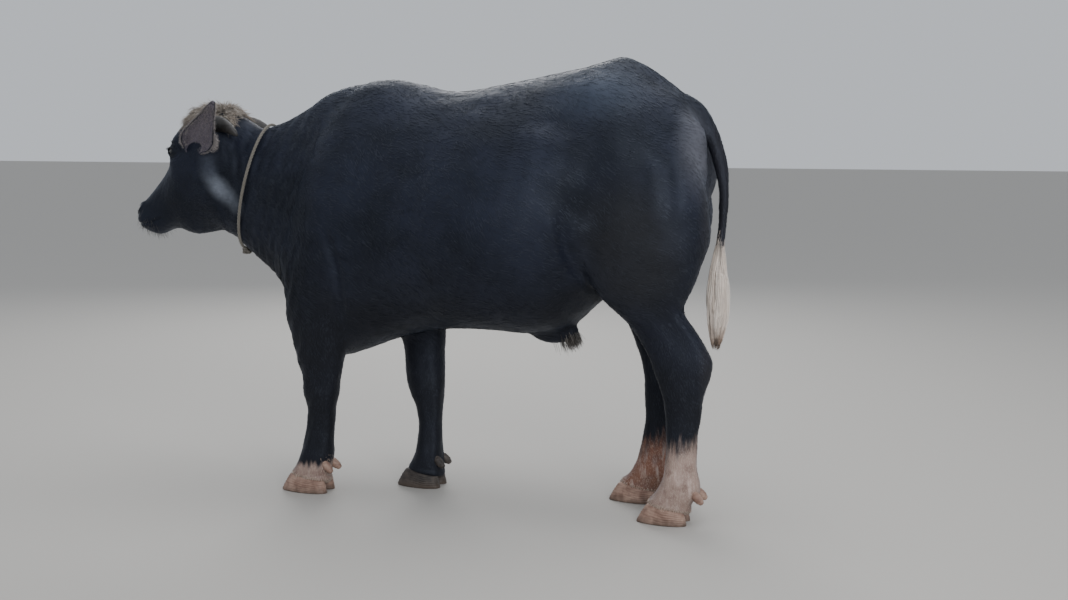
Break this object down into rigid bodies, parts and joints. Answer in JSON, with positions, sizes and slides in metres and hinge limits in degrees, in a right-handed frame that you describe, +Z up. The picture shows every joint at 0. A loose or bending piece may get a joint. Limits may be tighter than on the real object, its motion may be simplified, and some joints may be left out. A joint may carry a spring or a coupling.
{
  "type": "water buffalo",
  "caption": "Life-size still model of a young male water buffalo standing square, dark skin with pale hind socks and tail switch, wearing a thin rope collar.",
  "frame": {"origin": "on the ground under the middle of the animal's box", "axes": "+X is the way the animal faces, +Y its left side, +Z up"},
  "size_m": [1.9202, 0.672, 1.3375],
  "materials": {
    "skin": "charcoal hide under short sparse hair, soft sheen",
    "pale_hair": "long cream hair, tan at the tip",
    "horn": "grey-brown ringed horn",
    "hoof_pale": "tan and pink hoof horn, dusty",
    "hoof_dark": "dark grey hoof horn, dusty",
    "eye": "wet dark brown eye",
    "rope": "pale twisted fibre rope"
  },
  "bodies": {
    "root": {"torso": "skin", "neck": "skin", "head": "skin", "ear_left": "skin", "ear_right": "skin", "horn_left": "horn", "horn_right": "horn", "eye_left": "eye", "eye_right": "eye", "leg_front_left": "skin", "leg_front_right": "skin", "leg_hind_left": "skin", "leg_hind_right": "skin", "claw_front_left_outer": "hoof_pale", "claw_front_left_inner": "hoof_pale", "claw_front_right_outer": "hoof_dark", "claw_front_right_inner": "hoof_dark", "claw_hind_left_outer": "hoof_pale", "claw_hind_left_inner": "hoof_pale", "claw_hind_right_outer": "hoof_pale", "claw_hind_right_inner": "hoof_pale", "dewclaw_front_left_outer": "hoof_pale", "dewclaw_front_left_inner": "hoof_pale", "dewclaw_front_right_outer": "hoof_dark", "dewclaw_front_right_inner": "hoof_dark", "dewclaw_hind_left_outer": "hoof_pale", "dewclaw_hind_left_inner": "hoof_pale", "dewclaw_hind_right_outer": "hoof_pale", "dewclaw_hind_right_inner": "hoof_pale", "tail": "skin", "tail_switch": "pale_hair", "collar_rope": "rope", "collar_knot": "rope"}
  },
  "joints": []
}
